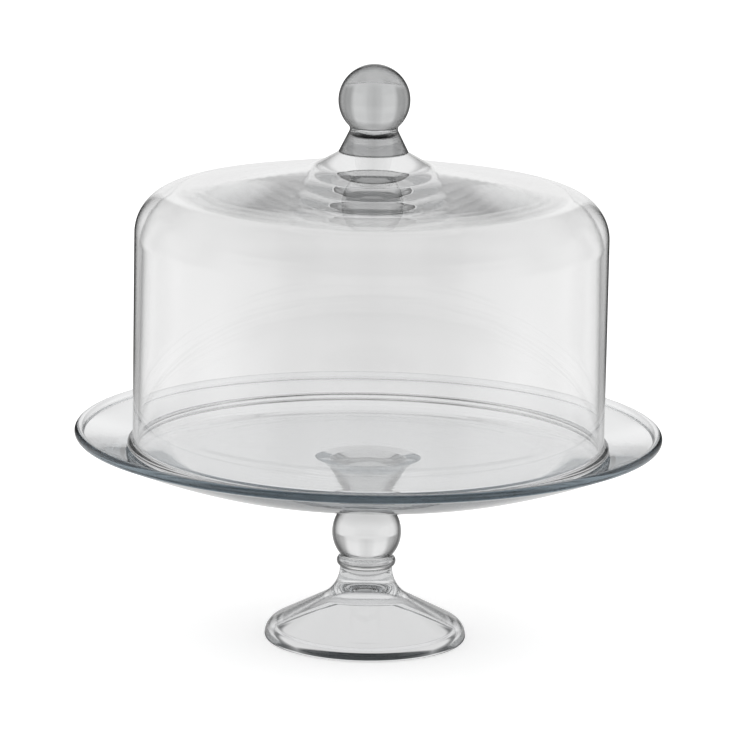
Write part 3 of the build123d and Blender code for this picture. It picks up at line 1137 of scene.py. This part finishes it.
# %% Floor
reach = 9.0
floor_drop = 0.0002
floor_mesh = bpy.data.meshes.new("studio_floor")
floor_mesh.from_pydata([(-reach, -reach, 0), (reach, -reach, 0), (reach, reach, 0), (-reach, reach, 0)],
                       [], [(0, 1, 2, 3)])
floor_mesh.materials.append(floor_material())
floor = bpy.data.objects.new("studio_floor", floor_mesh)
floor.location = (0, 0, -floor_drop)
bpy.context.scene.collection.objects.link(floor)
print("floor", 2 * reach, "m wide")

# %% [markdown]
# The rest of the studio is the world: white for the camera, a soft even light for the paper, and
# for glass the levels of the surroundings, which change with the height above the horizon too.
# High up everything is evenly bright, except on the camera's side, which stays dark. The pairs
# again say where a change begins and where it is complete.

# %% Levels of the world, by degrees above the horizon
PLAIN = 0.9
RISE = [(-90, 1.0), (17, 1.05), (26, 0.75), (40, 0.7), (60, 0.5), (90, 0.45)]
SHEET_ABOVE = (0.5, 0.8)          # how far a direction points backwards, 1 being straight back
EVEN_ABOVE = (15, 40)
FRONT_TURNED = (-0.1, -0.45)
FRONT_ABOVE = (18, 28)
FRONT_LEVEL = (0.12, 0.12, 0.12)


def world_level(tree, way, mirrored):
    """Grey that glass shows of the world."""
    _, backward, upward = split(tree, (1, 0), way)
    rise = maths(tree, (2, 0), "MULTIPLY", maths(tree, (2, 1), "ARCSINE", upward), TO_DEGREES)
    around = level_round(tree, way, mirrored, spread(tree, (2, 4), backward, *SHEET_ABOVE))
    high_up = spread(tree, (4, 3), rise, *EVEN_ABOVE)
    level = blend_colours(tree, (6, 0), high_up, around, WHITE)
    front = both_spans(tree, 4, (5, backward, FRONT_TURNED), (6, rise, FRONT_ABOVE))
    level = blend_colours(tree, (7, 2), front, level, FRONT_LEVEL)
    return multiply_colours(tree, (8, 0), ramp(tree, (4, 0), rise, -90, 90, RISE), level)


print("overhead the studio has level", RISE[-1][1])

# %% [markdown]
# Three backgrounds are mixed by the kinds of rays: an even light for all that is matt, the levels
# for what glass sends on, and pure white for the camera. Lamps could do the lighting, but each one
# would show in the glass as a bright spot of its own.

# %% World
def studio():
    """World shader: white for the camera, levels for glass, even light for the rest."""
    world = bpy.data.worlds.new("studio")
    bpy.context.scene.world = world
    tree = blank_tree(world)
    way = new_node(tree, "ShaderNodeTexCoord", (0, 0)).outputs["Generated"]
    direct, sent_on, mirrored = ray_masks(tree, 0, 3)
    lights = []
    for row, colour in enumerate(((PLAIN,) * 3, world_level(tree, way, mirrored), WHITE)):
        light = new_node(tree, "ShaderNodeBackground", (9, row))
        feed(tree, light.inputs["Color"], colour)
        lights.append(light.outputs[0])
    even, through_glass, straight = lights
    shown = mix_shaders(tree, (10, 0), sent_on, even, through_glass)
    shown = mix_shaders(tree, (11, 0), direct, shown, straight)
    output = new_node(tree, "ShaderNodeOutputWorld", (12, 0))
    tree.links.new(shown, output.inputs["Surface"])
    print("world:", len(tree.nodes), "nodes")


studio()

# %% [markdown]
# The camera was fitted to the photo: about 3 m away with a long lens, 12 degrees above the
# horizontal, and rolled by one degree, because the photo's rim isn't quite level.

# %% Camera
elevation = math.radians(12.07)
roll = math.radians(1.03)
target = Vector((-0.0009, 0, 0.1569))
distance = 2.997
focal_pixels, photo_width = 5301, 736          # focal length and width of the photo in pixels
back = Vector((0, -math.cos(elevation), math.sin(elevation)))
sideways = Vector((1, 0, 0))
upright = back.cross(sideways)
right = sideways * math.cos(roll) + upright * math.sin(roll)
up = upright * math.cos(roll) - sideways * math.sin(roll)
lens = bpy.data.cameras.new("studio_camera")
lens.sensor_width = 36.0
lens.lens = lens.sensor_width * focal_pixels / photo_width
lens.clip_start = 0.1
lens.clip_end = 40.0
camera = bpy.data.objects.new("studio_camera", lens)
camera.matrix_world = Matrix((
    (right.x, up.x, back.x, 0), (right.y, up.y, back.y, 0), (right.z, up.z, back.z, 0), (0, 0, 0, 1)))
camera.location = target + back * distance
bpy.context.scene.collection.objects.link(camera)
bpy.context.scene.camera = camera
print("camera at", [round(value, 3) for value in camera.location], "lens", round(lens.lens), "mm")

# %% [markdown]
# Light is thrown about many times inside solid glass, and a ray that runs out of bounces turns
# black, so the limits are high. The Standard view keeps the white studio white.

# %% Bounces and view
all_bounces, glass_bounces = 64, 48
scene = bpy.context.scene
scene.view_settings.view_transform = "Standard"
scene.cycles.max_bounces = all_bounces
scene.cycles.transmission_bounces = glass_bounces
scene.cycles.glossy_bounces = glass_bounces
print("a ray may pass", glass_bounces, "faces of glass")
